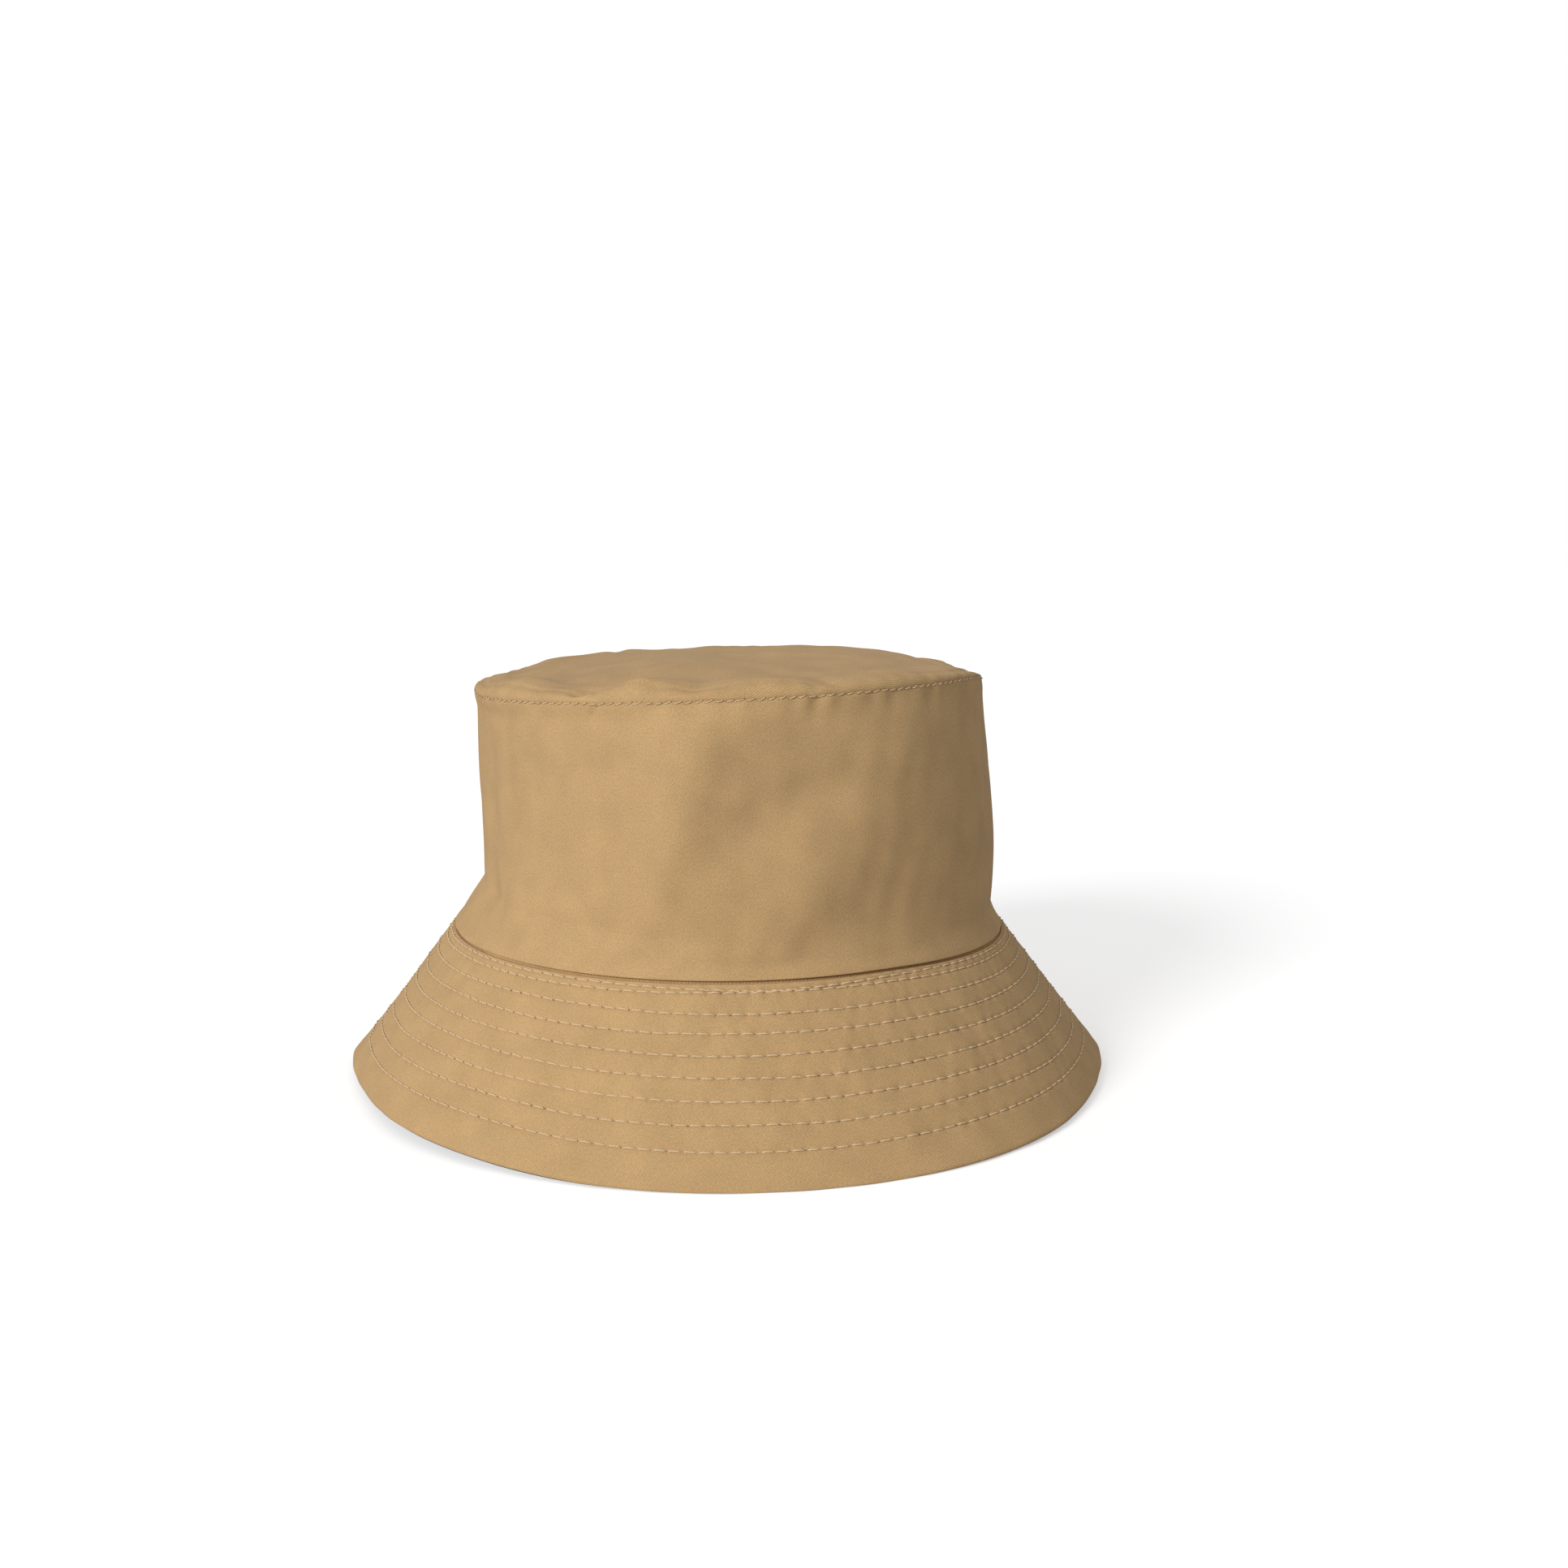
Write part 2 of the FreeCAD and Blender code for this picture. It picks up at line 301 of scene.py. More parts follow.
def crown_folds(angle, height):
    """How far the crown wall stands out from its plain shape."""
    slow = ripple(angle, height, 11, 10, (5, 14), (0.02, 0.09))
    total = (0.1 + 0.3 * smooth(0.4, -0.2, np.cos(angle))) * slow - 0.8
    total += 0.08 * ripple(angle, height, 12, 12, (24, 60), (0.05, 0.3))
    for degrees, middle, direction, length, width, depth in crown_dents():
        across = turned(angle, degrees)
        up = height - middle
        cosine, sine = math.cos(math.radians(direction)), math.sin(math.radians(direction))
        along = across * cosine + up * sine
        beside = up * cosine - across * sine
        total -= depth * hump(along, length) * hump(beside, width)
    return total * smooth(0, 4.5, height) * smooth(0, 6, CROWN_HEIGHT - height)


def seam_gathers(angle, distance):
    """Puckers of the cloth beside the tip seam, dying out this far from it."""
    total = 0.16 * ripple(angle, 0, 21, 14, (30, 90), (0, 0)) * hump(distance, 5.0)
    for degrees, width, depth in tip_puckers():
        slanted = turned(angle, degrees) + 0.35 * distance
        total -= depth * hump(slanted, width) * hump(distance - 1.0, 5.0)
    return total


def rounded_corner(angle, distance):
    """How far the cloth on both sides of the tip seam draws in at the hat's left."""
    return 1.3 * near(angle, QUARTER, 0.4) * hump(distance, 2.8)


def crown_allowance(angle, height):
    """Crown cloth below the join, turned out along the slope under the brim's upper cloth."""
    down = np.clip(-height, 0.0, None)
    lift = brim_waves(angle, down) - JOIN_DIP * hump(down, DIP_WIDTH) - CLOTH - 0.2
    return brim_base(angle, down) + column(lift) * brim_normal(angle)


def join_line(angle, gap, height):
    """Line round the join, this far outside it. It sits further down the slope at the hat's left."""
    lower = 2.6 * smooth(0.45, 1.0, np.sin(angle)) / BRIM_SLOPE
    line = oval(angle, JOIN_WIDTH + gap, JOIN_LENGTH + gap, height)
    line[..., 0] += lower * BRIM_REACH
    line[..., 2] -= lower * JOIN_Z
    return line


def lean(height):
    """Sideways shift of the crown wall at this height above the join."""
    share = height / CROWN_HEIGHT
    return LEAN_MIDDLE + (LEAN_TOP - LEAN_MIDDLE) * smooth(0.3, 1.0, share)


def tilt(angle, share=1.0):
    """Rise of the tip: its front half slopes up to the right, and its back is level.

    share is 1 at the tip seam and 0 in the middle of the tip.
    """
    corners = (2.2 * near(angle, -QUARTER, 0.24) - 2.6 * near(angle, QUARTER, 0.27)) * share**4
    return TILT * share * np.sin(angle) * smooth(-0.8, 0.1, share * np.cos(angle)) + corners


def crown_base(angle, height):
    """Plain outer surface of the crown wall, with its lean, tilt and kicked-out foot."""
    share = np.clip(height / CROWN_HEIGHT, 0.0, 1.0)
    half_width = SEAM_WIDTH + 0.9 * np.sin(math.pi * share) - TOP_NARROWER * smooth(0.55, 1.0, share)
    half_length = SEAM_LENGTH + (JOIN_LENGTH - SEAM_LENGTH - FRONT_KICK) * (1 - share)
    wall = oval(angle, half_width, half_length, JOIN_Z + height)
    wall[..., 0] += lean(height)
    wall[..., 2] += tilt(angle) * share
    foot = join_line(angle, 0.0, JOIN_Z + height)
    foot_height = 11.0 - 5.5 * np.sin(angle)
    ramp = np.clip(1 - height / foot_height, 0.0, 1.0)
    ramp = 1.1 * ramp**2 / (ramp + 0.1)
    ramp = ramp - KICK_SLOPE * (0.1 + 0.9 * np.sin(angle)) * ramp * (1 - ramp)
    return wall + column(ramp) * (foot - wall)


def crown_wall(angle, height, depth=0.0):
    """Crown wall, this deep inside its outer surface."""
    direction = outward(angle, SEAM_WIDTH, SEAM_LENGTH)
    low = np.clip(height, 0.0, CROWN_HEIGHT)
    below_seam = CROWN_HEIGHT - low
    relief = crown_folds(angle, low) + seam_gathers(angle, below_seam) - depth
    return crown_base(angle, low) + column(relief) * direction


def crown_outside(angle, height):
    """Outer cloth of the crown wall, with its seams, and tucked in at the top and at the join."""
    tucked = np.clip(height - CROWN_HEIGHT, 0.0, None)
    below = np.clip(CROWN_HEIGHT - height, 0.0, None)
    relief = -0.3 * hump(below, 0.5) - tucked - rounded_corner(angle, below)
    sunk = 0.35 + 0.65 * smooth(-1.15, -0.6, angle) * smooth(1.5, 1.0, angle)
    relief = relief - 1.7 * sunk * hump(height, 0.3) + 0.12 * hump(height - 1.4, 1.4)
    for side in (-QUARTER, QUARTER):
        from_side = away(angle, side) * SEAM_WIDTH
        relief = relief - 0.5 * hump(from_side, 0.7) + 0.15 * hump(np.abs(from_side) - 4.0, 3.0)
    wall = crown_wall(angle, height) + column(relief) * outward(angle, SEAM_WIDTH, SEAM_LENGTH)
    return np.where(column(height < 0), crown_allowance(angle, height), wall)


def crown_inside(angle, height):
    """Hidden face of the crown lining. Below the join it drops to the under brim and turns out."""
    wall = crown_wall(angle, height, WALL - CLOTH)
    wall[..., 2] += np.clip(height, -LINING_FOOT, 0.0)
    down = np.clip(-height - LINING_FOOT, 0.0, None) + 1.0
    flat = brim_base(angle, down) + column(brim_waves(angle, down) - 2.5) * brim_normal(angle)
    return np.where(column(height < -LINING_FOOT), flat, wall)


def crown_tip(angle, along, depth=0.0):
    """Top panel. along runs from the tip seam, up the rolled edge and in to the middle."""
    turn = np.clip(along / TIP_CORNER_ARC, 0.0, 1.0)
    corner = TIP_CORNER_START + (QUARTER - TIP_CORNER_START) * turn
    inward = np.clip((along - TIP_CORNER_ARC) / TIP_RADIUS, 0.0, 1.0)
    keep = 1 - inward
    roll_out = TIP_CORNER_IN * (np.cos(corner) - 1) - 0.15 * (1 - turn) ** 2 - rounded_corner(angle, along)
    flattened = 0.75 * near(angle, QUARTER, 0.6) + 0.6 * near(angle, -QUARTER, 0.3)
    sharpness = 1 - flattened * smooth(34.0, 4.0, along)
    rise = TIP_CORNER_UP * sharpness * (np.sin(corner) - math.sin(TIP_CORNER_START)) - 0.55
    half_width = (SEAM_WIDTH - TOP_NARROWER + roll_out) * keep
    half_length = (SEAM_LENGTH + roll_out) * keep
    dome = (TIP_Z - SEAM_Z - TIP_CORNER_UP) * (1 - keep**2)
    near_edge = along - TIP_CORNER_ARC
    band = 0.5 * smooth(9.5, 6.5, near_edge) - 0.25 * hump(near_edge - 12, 4.0)
    height = rise + dome + band * smooth(0.0, 2.0, near_edge)
    height = height + seam_gathers(angle, along) * (0.5 + 0.5 * turn)
    height = height + tip_folds(angle, along) - depth
    inset = depth * np.cos(corner)
    point = oval(angle, half_width - inset, half_length - inset, SEAM_Z)
    point[..., 2] += height + tilt(angle, keep)
    point[..., 0] += LEAN_TOP
    return point


def tip_folds(angle, along):
    """Soft swells of the top panel, flat at its seam and its middle."""
    swell = 0.45 * ripple(angle, along, 31, 8, (2, 5), (0.03, 0.08))
    swell = swell + 0.12 * ripple(angle, along, 32, 10, (8, 22), (0.1, 0.3))
    swell = swell - 0.7 * hump(turned(angle, 5), 40) * hump(along - 22, 7.0)
    swell = swell * smooth(1.5, 9.0, along) * smooth(TIP_SPAN, TIP_SPAN - 40, along)
    for degrees, middle, slant, length, width, height in tip_billows():
        beside = turned(angle, degrees) - slant * (along - middle)
        swell = swell + height * hump(along - middle, length) * hump(beside, width) * smooth(0.5, 5.0, along)
    return swell


# Brim


def row_distances():
    """Distance of each stitch row from the join, down the slope."""
    pitched = [SECOND_ROW + ROW_PITCH * n + PITCH_GROWTH * n * (n - 1) / 2 for n in range(PITCHED_ROWS)]
    return [FIRST_ROW] + pitched


def row_place(row, angle):
    """Distance of a row from the join at this angle. The first two rows draw together in front."""
    distance = row_distances()[row]
    wander = 0.22 * ripple(angle, 0.0, 40 + row, 6, (2, 9), (0, 0))
    if row == 0:
        return distance + 1.2 * hump(angle - 0.13, 0.35) - 0.3 + 0.5 * wander
    if row == 1:
        return distance - 0.6 * hump(angle - 0.13, 0.35) + 0.9 * (1 - np.cos(angle)) / 2 + 0.5 * wander
    return distance + wander


def row_stitches(row):
    """Number of stitches in a row, from its length round the brim."""
    share = row_distances()[row] / BRIM_SLOPE
    half_width = JOIN_WIDTH + (EDGE_WIDTH - JOIN_WIDTH) * share
    half_length = JOIN_LENGTH + (EDGE_LENGTH - JOIN_LENGTH) * share
    around = 2 * math.pi * math.sqrt((half_width**2 + half_length**2) / 2)
    return round(around / BRIM_STITCH)


def brim_waves(angle, down):
    """Slow unevenness of the brim, growing towards its edge."""
    share = np.clip(down / BRIM_SLOPE, 0.0, 1.0)
    slow = 0.5 * ripple(angle, down, 51, 7, (2, 6), (0.0, 0.03)) * share
    return slow + 0.1 * ripple(angle, down, 52, 12, (16, 44), (0.03, 0.2)) * smooth(0.0, 0.2, share)


def brim_channels(angle, down):
    """Sewn channels with their needle holes and the fine puckers between stitches."""
    total = np.zeros(np.broadcast(angle, down).shape)
    fine = ripple(angle, down, 53, 14, (90, 170), (0.1, 0.6))
    for row in range(PITCHED_ROWS + 1):
        beside = down - row_place(row, angle)
        phase = (angle / (2 * math.pi) * row_stitches(row) + ROW_PHASE * row) % 1.0
        from_hole = np.minimum(phase, 1 - phase) * BRIM_STITCH
        hole = hump(beside, NEEDLE_HOLE_WIDTH) * hump(from_hole, NEEDLE_HOLE_WIDTH)
        total -= CHANNEL_DEPTH * hump(beside, CHANNEL_WIDTH)
        total -= NEEDLE_HOLE_DEPTH * hole
        total += 0.05 * fine * hump(beside, 2.2)
    return total


def near_join(down):
    """1 where the crown's seam allowances lie inside the brim, falling to 0 further down."""
    return smooth(19.0, 9.0, down)


def brim_base(angle, down):
    """Plain upper surface of the brim. down is the distance from the join, down the slope."""
    share = down / BRIM_SLOPE
    start = join_line(angle, 0.2, JOIN_Z)
    arch = EDGE_ARCH * np.sin(angle) ** 2 + 0.3 + 0.4 * near(angle, -0.2, 0.6)
    arch = arch + 2.4 * near(angle, -0.75, 0.42) + 0.6 * near(angle, -1.0, 0.2)
    end = oval(angle, EDGE_WIDTH, EDGE_LENGTH, arch)
    flare = 0.9 + 1.5 * near(angle, -1.75, 0.35) - 3.6 * near(angle, -1.22, 0.28)
    flare = flare - 2.0 * near(angle, 1.2, 0.3)
    flare = flare * np.clip(share, 0.0, 1.0) ** 5
    point = start + column(share) * (end - start)
    return point + column(flare) * outward(angle, EDGE_WIDTH, EDGE_LENGTH)


def brim_normal(angle):
    """Direction square to the brim's slope, up and out."""
    normal = outward(angle, EDGE_WIDTH, EDGE_LENGTH) * (JOIN_Z / BRIM_SLOPE)
    normal[..., 2] = BRIM_REACH / BRIM_SLOPE
    return normal


def brim_point(angle, down, lift, side=1):
    """Place on the brim, this far above its upper surface. side is -1 for channels seen from below."""
    relief = brim_waves(angle, down) + side * brim_channels(angle, down) + lift
    relief = relief - JOIN_DIP * hump(down, DIP_WIDTH)
    return brim_base(angle, down) + column(relief) * brim_normal(angle)


def seam_turn(angle):
    """How far round the brim's rolled edge the outer cloth goes before the lining starts.

    The lining shows along the edge in front of the wearer's right.
    """
    shown = smooth(-1.15, -0.75, angle) * smooth(0.42, 0.1, angle)
    return 1.95 - 0.85 * shown + 0.06 * ripple(angle, 0.0, 61, 6, (6, 20), (0, 0))


def upper_brim(angle, along):
    """Upper cloth of the brim. along runs from 0 at the join to 1 at the edge seam."""
    rolled = BRIM_HALF_THICKNESS * seam_turn(angle)
    distance = along * (BRIM_SLOPE + rolled)
    turn = np.clip(distance - BRIM_SLOPE, 0.0, None) / BRIM_HALF_THICKNESS
    down = np.minimum(distance, BRIM_SLOPE) + BRIM_HALF_THICKNESS * np.sin(turn)
    return brim_point(angle, down, BRIM_HALF_THICKNESS * (np.cos(turn) - 1))


def under_brim(angle, along):
    """Under cloth of the brim. along runs from 0 at the edge seam to 1 at the join."""
    start = seam_turn(angle)
    rolled = BRIM_HALF_THICKNESS * (math.pi - start)
    distance = along * (BRIM_SLOPE + rolled)
    turn = np.minimum(start + distance / BRIM_HALF_THICKNESS, math.pi)
    down = BRIM_SLOPE + BRIM_HALF_THICKNESS * np.sin(turn) - np.clip(distance - rolled, 0.0, None)
    thicker = ALLOWANCE_BULK * near_join(down)
    return brim_point(angle, down, BRIM_HALF_THICKNESS * (np.cos(turn) - 1) - thicker, -1)


# Meshes


def rested(points):
    """Points with those near or below the table pressed up on to it."""
    points = points.copy()
    points[:, 2] = np.logaddexp(0.0, TABLE_PRESS * points[:, 2]) / TABLE_PRESS
    return points


def make_object(name, points, faces, flat, nodes, material):
    """Mesh object on the hat's body from points in millimetres and four-cornered faces.

    flat gives each point's place on the flat cloth, in millimetres. A face whose last two corners
    are the same point is a triangle.
    """
    mesh = bpy.data.meshes.new(name)
    mesh.from_pydata((rested(points) * MM).tolist(), [], faces)
    layer = mesh.uv_layers.new(name="cloth")
    corners = np.empty(len(mesh.loops), np.int32)
    mesh.loops.foreach_get("vertex_index", corners)
    layer.data.foreach_set("uv", flat[corners].astype(np.float32).ravel())
    mesh.shade_smooth()
    mesh.set_sharp_from_angle(angle=math.radians(55))
    mesh.materials.append(material)
    piece = bpy.data.objects.new(name, mesh)
    bpy.context.scene.collection.objects.link(piece)
    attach(piece, BODY)
    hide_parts(*nodes)
    return piece


def grid_faces(rows, columns, start=0, closed=False, flip=False):
    """Quads of a grid whose points are numbered row by row."""
    index = np.arange(rows * columns).reshape(rows, columns) + start
    if closed:
        index = np.concatenate([index, index[:1]])
    a, b, c, d = index[:-1, :-1], index[1:, :-1], index[1:, 1:], index[:-1, 1:]
    corners = (a, d, c, b) if flip else (a, b, c, d)
    return np.stack(corners, -1).reshape(-1, 4)


def grid_normals(points, closed=False):
    """Unit normals of a grid of points."""
    if closed:
        wrapped = np.concatenate([points[-1:], points, points[:1]])
        across = (wrapped[2:] - wrapped[:-2]) / 2
    else:
        across = np.gradient(points, axis=0)
    along = np.gradient(points, axis=1)
    normal = np.cross(across, along)
    return normal / np.maximum(np.linalg.norm(normal, axis=-1, keepdims=True), 1e-9)


def cloth_panel(name, surface, flat, nodes, material, closed=False, flip=False):
    """Piece of cloth with real thickness under a grid of surface points."""
    rows, columns = surface.shape[:2]
    inward = grid_normals(surface, closed) * (1 if flip else -1)
    points = np.concatenate([surface.reshape(-1, 3), (surface + CLOTH * inward).reshape(-1, 3)])
    count = rows * columns
    faces = [
        grid_faces(rows, columns, 0, closed, flip),
        grid_faces(rows, columns, count, closed, not flip),
    ]
    index = np.arange(count).reshape(rows, columns)
    rims = [(index[:, 0], not flip), (index[:, -1], flip)]
    if not closed:
        rims += [(index[0], flip), (index[-1], not flip)]
    for rim, turn in rims:
        if closed:
            rim = np.append(rim, rim[0])
        a, b = rim[:-1], rim[1:]
        corners = (a, a + count, b + count, b) if turn else (a, b, b + count, a + count)
        faces.append(np.stack(corners, -1))
    flats = np.concatenate([flat.reshape(-1, 2)] * 2)
    return make_object(name, points, np.concatenate(faces).tolist(), flats, nodes, material)


def half_angles(end, spacing, radius, clearance=OUTER_SEAM_GAP):
    """Angles across the front half of the hat, or across the back half."""
    middle = 0.0 if end == "front" else math.pi
    gap = clearance / radius
    return steps(middle - QUARTER + gap, middle + QUARTER - gap, spacing / radius)


def wrap_from(angle, end):
    """Angle measured from the middle of the front or back half, for laying its cloth flat."""
    return angle if end == "front" else angle - math.pi


def brim_flat(angle, down, end):
    """Place of a point of the brim on its flat pattern, which is part of a ring."""
    to_apex = BRIM_SLOPE * JOIN_WIDTH / BRIM_REACH
    opening = BRIM_REACH / BRIM_SLOPE * wrap_from(angle, end)
    radius = to_apex + down
    return np.stack([radius * np.sin(opening), -radius * np.cos(opening)], -1)


def build_crown_sides(materials):
    """Both halves of the crown wall, in the outer cloth and in the lining."""
    for end in ("front", "back"):
        angles = half_angles(end, 1.15, SEAM_LENGTH)
        heights = np.unique(np.concatenate([
            steps(-CROWN_ALLOWANCE, -0.1, 2.0),
            steps(0.0, 0.9, 0.15),
            steps(0.9, 3.0, 0.4),
            steps(3.0, CROWN_HEIGHT - 4, 1.15),
            steps(CROWN_HEIGHT - 4, CROWN_HEIGHT, 0.4),
            steps(CROWN_HEIGHT + 0.5, CROWN_HEIGHT + TOP_TUCK, 1.0),
        ]))
        angle, height = np.meshgrid(angles, heights, indexing="ij")
        flat = np.stack([wrap_from(angle, end) * SEAM_LENGTH, height], -1)
        cloth_panel(f"crown_side_{end}_cloth", crown_outside(angle, height), flat,
                    [f"crown_side_{end}_outer"], materials["outer_twill"])
        heights = np.concatenate([
            steps(-7.0, -LINING_FOOT - 0.1, 2.0),
            steps(-LINING_FOOT, CROWN_HEIGHT - 0.9, 2.0),
        ])
        coarse = np.meshgrid(half_angles(end, 2.2, SEAM_LENGTH, LINING_SEAM_GAP), heights, indexing="ij")
        inside = crown_inside(*coarse)
        flat = np.stack([wrap_from(coarse[0], end) * SEAM_LENGTH, coarse[1]], -1)
        cloth_panel(f"crown_side_{end}_lining_cloth", inside, flat,
                    [f"crown_side_{end}_lining"], materials["lining_twill"])


def build_tips(materials):
    """Top panels of the outer shell and of the lining."""
    for kind, depth, spacing in (("outer", 0.0, 1.0), ("lining", WALL - CLOTH, 2.0)):
        angles = np.linspace(-math.pi, math.pi, int(560 / spacing * DENSITY) + 1)[:-1]
        rings = np.concatenate([
            steps(0.0, 8.0, 0.42 * spacing),
            steps(8.6, 26.0, 1.0 * spacing),
            steps(27.2, TIP_SPAN - 1.0, 2.0 * spacing),
        ])
        angle, along = np.meshgrid(angles, rings, indexing="ij")
        surface = crown_tip(angle, along, depth)
        radius = TIP_SPAN - along
        flat = np.stack([radius * np.sin(angle), -radius * np.cos(angle)], -1)
        piece = cloth_panel(f"crown_tip_{kind}_cloth", surface, flat,
                            [f"crown_tip_{kind}"], materials[f"{kind}_twill"], closed=True)
        close_middle(piece, len(angles), len(rings))


def close_middle(piece, columns, rings):
    """Fills the small hole in the middle of a top panel and removes the rim round it."""
    work = bmesh.new()
    work.from_mesh(piece.data)
    work.verts.ensure_lookup_table()
    count = columns * rings
    last = [(number + 1) * rings - 1 for number in range(columns)]
    inner_rim = {work.verts[i] for i in last} | {work.verts[i + count] for i in last}
    doomed = [f for f in work.faces if all(v in inner_rim for v in f.verts)]
    bmesh.ops.delete(work, geom=doomed, context="FACES_ONLY")
    holes = [e for e in work.edges if e.is_boundary]
    bmesh.ops.holes_fill(work, edges=holes, sides=0)
    bmesh.ops.triangulate(work, faces=[f for f in work.faces if len(f.verts) > 4])
    work.to_mesh(piece.data)
    work.free()


def build_brim(materials):
    """Both halves of the brim: upper cloth, under cloth and stiffener."""
    for end in ("front", "back"):
        distances = np.unique(np.concatenate([steps(0.0, 1.2, 0.2), steps(1.2, BRIM_SLOPE, 0.6)]))
        places = distances / BRIM_SLOPE
        fine = np.meshgrid(half_angles(end, 0.95, EDGE_WIDTH), places, indexing="ij")
        flat = brim_flat(fine[0], fine[1] * BRIM_SLOPE, end)
        cloth_panel(f"brim_upper_{end}_cloth", upper_brim(*fine), flat,
                    [f"brim_upper_{end}"], materials["outer_twill"], flip=True)
        angles = half_angles(end, 1.4, EDGE_WIDTH, LINING_SEAM_GAP)
        coarse = np.meshgrid(angles, steps(0.0, 1.0, 0.8 / BRIM_SLOPE), indexing="ij")
        flat = brim_flat(coarse[0], (1 - coarse[1]) * BRIM_SLOPE, end)
        cloth_panel(f"brim_under_{end}_cloth", under_brim(*coarse), flat,
                    [f"brim_under_{end}"], materials["lining_twill"], flip=True)
        build_interlining(end, materials)


def build_interlining(end, materials):
    """Stiffener between the brim's two cloths."""
    downs = steps(2.0, BRIM_SLOPE - 3.0, 3.0)
    angle, down = np.meshgrid(half_angles(end, 4.0, EDGE_WIDTH), downs, indexing="ij")
    relief = brim_waves(angle, down) - 0.75 - 0.5 * near_join(down)
    surface = brim_base(angle, down) + column(relief) * brim_normal(angle)
    cloth_panel(f"brim_interlining_{end}_felt", surface, brim_flat(angle, down, end),
                [f"brim_interlining_{end}"], materials["interlining"], flip=True)


# Threads


def stitch_tubes(paths, ups, radius):
    """Tubes along many short paths, as points, faces and flat coordinates.

    paths and ups are (stitch, step, 3): the centre line and the direction away from the cloth.
    """
    count, length = paths.shape[:2]
    tangent = np.gradient(paths, axis=1)
    tangent /= np.linalg.norm(tangent, axis=-1, keepdims=True)
    across = np.cross(tangent, ups)
    across /= np.linalg.norm(across, axis=-1, keepdims=True)
    up = np.cross(across, tangent)
    share = np.linspace(0.0, 1.0, length)
    thickness = radius * np.clip(np.sin(math.pi * share) * 1.6 + 0.75, 0.0, 1.0)
    turns = np.arange(TUBE_SIDES) * 2 * math.pi / TUBE_SIDES
    ring = (
        across[:, :, None] * np.cos(turns)[None, None, :, None]
        + up[:, :, None] * np.sin(turns)[None, None, :, None]
    )
    points = paths[:, :, None] + ring * thickness[None, :, None, None]
    index = np.arange(count * length * TUBE_SIDES).reshape(count, length, TUBE_SIDES)
    after = np.roll(index, -1, axis=2)
    walls = np.stack([index[:, :-1], after[:, :-1], after[:, 1:], index[:, 1:]], -1).reshape(-1, 4)
    first, last = index[:, 0], index[:, -1]
    caps = [first[:, [3, 2, 1, 0]], first[:, [5, 4, 3, 0]], last[:, [0, 1, 2, 3]], last[:, [0, 3, 4, 5]]]
    faces = np.concatenate([walls] + caps)
    around = turns / (2 * math.pi)
    flat = np.stack(np.broadcast_arrays(share[None, :, None], around, np.zeros((count, 1, 1)))[:2], -1)
    return points.reshape(-1, 3), faces, flat.reshape(-1, 2)


def brim_stitches(row, below, seed):
    """Centre lines of one row of stitches on the brim, and the direction away from the cloth."""
    count = row_stitches(row)
    draw = np.random.default_rng(seed + row)
    start = (np.arange(count) - ROW_PHASE * row) / count
    share = np.linspace(0.0, 1.0, STITCH_POINTS)
    length = 0.96 + 0.02 * draw.uniform(-1, 1, count)
    along = start[:, None] + (0.5 + (share[None] - 0.5) * length[:, None]) / count
    angle = (along * 2 * math.pi + math.pi) % (2 * math.pi) - math.pi
    slant = (0.1 + 0.05 * draw.normal(size=count))[:, None] * (share[None] - 0.5)
    shift = 0.03 * draw.normal(size=count)[:, None]
    down = row_place(row, angle) + slant + shift
    arch = np.sin(math.pi * share)[None] ** 0.5 * (0.42 + 0.04 * draw.normal(size=count))[:, None] - 0.2
    normal = brim_normal(angle)
    if not below:
        return brim_point(angle, down, arch + 0.1), normal
    thickness = 2 * BRIM_HALF_THICKNESS + ALLOWANCE_BULK * near_join(down)
    return brim_point(angle, down, -thickness - arch - 0.1, -1), -normal


def build_brim_rows(materials):
    """The rows of topstitching on the brim, above and below."""
    sides = (
        ("upper", False, "outer_thread", 700),
        ("under", True, "lining_thread", 800),
    )
    for kind, below, slot, seed in sides:
        parts = [
            stitch_tubes(*brim_stitches(row, below, seed), THREAD_RADIUS)
            for row in range(PITCHED_ROWS + 1)
        ]
        join_tubes(f"brim_topstitch_{kind}_stitches", parts, [f"brim_topstitch_{kind}"],
                   materials[slot])


def join_tubes(name, parts, nodes, material):
    """One piece from several sets of tubes."""
    offset = 0
    faces = []
    for points, quads, _ in parts:
        faces.append(quads + offset)
        offset += len(points)
    points = np.concatenate([part[0] for part in parts])
    flat = np.concatenate([part[2] for part in parts])
    return make_object(name, points, np.concatenate(faces).tolist(), flat, nodes, material)


def seam_row(surface, outside, count, length, slant, lift, seed):
    """Stitches along a seam. surface gives a place from an angle and a distance across the seam."""
    draw = np.random.default_rng(seed)
    share = np.linspace(0.0, 1.0, STITCH_POINTS)
    start = np.arange(count)[:, None] / count
    along = start + (0.5 + (share[None] - 0.5) * length) / count
    angle = along * 2 * math.pi - math.pi
    across = slant * (share[None] - 0.5) * (1 + 0.2 * draw.normal(size=(count, 1)))
    arch = lift + 0.3 * np.sin(math.pi * share)[None] ** 0.7 * np.ones((count, 1))
    points = surface(angle, across)
    normal = outside(angle)
    return points + column(arch) * normal, normal


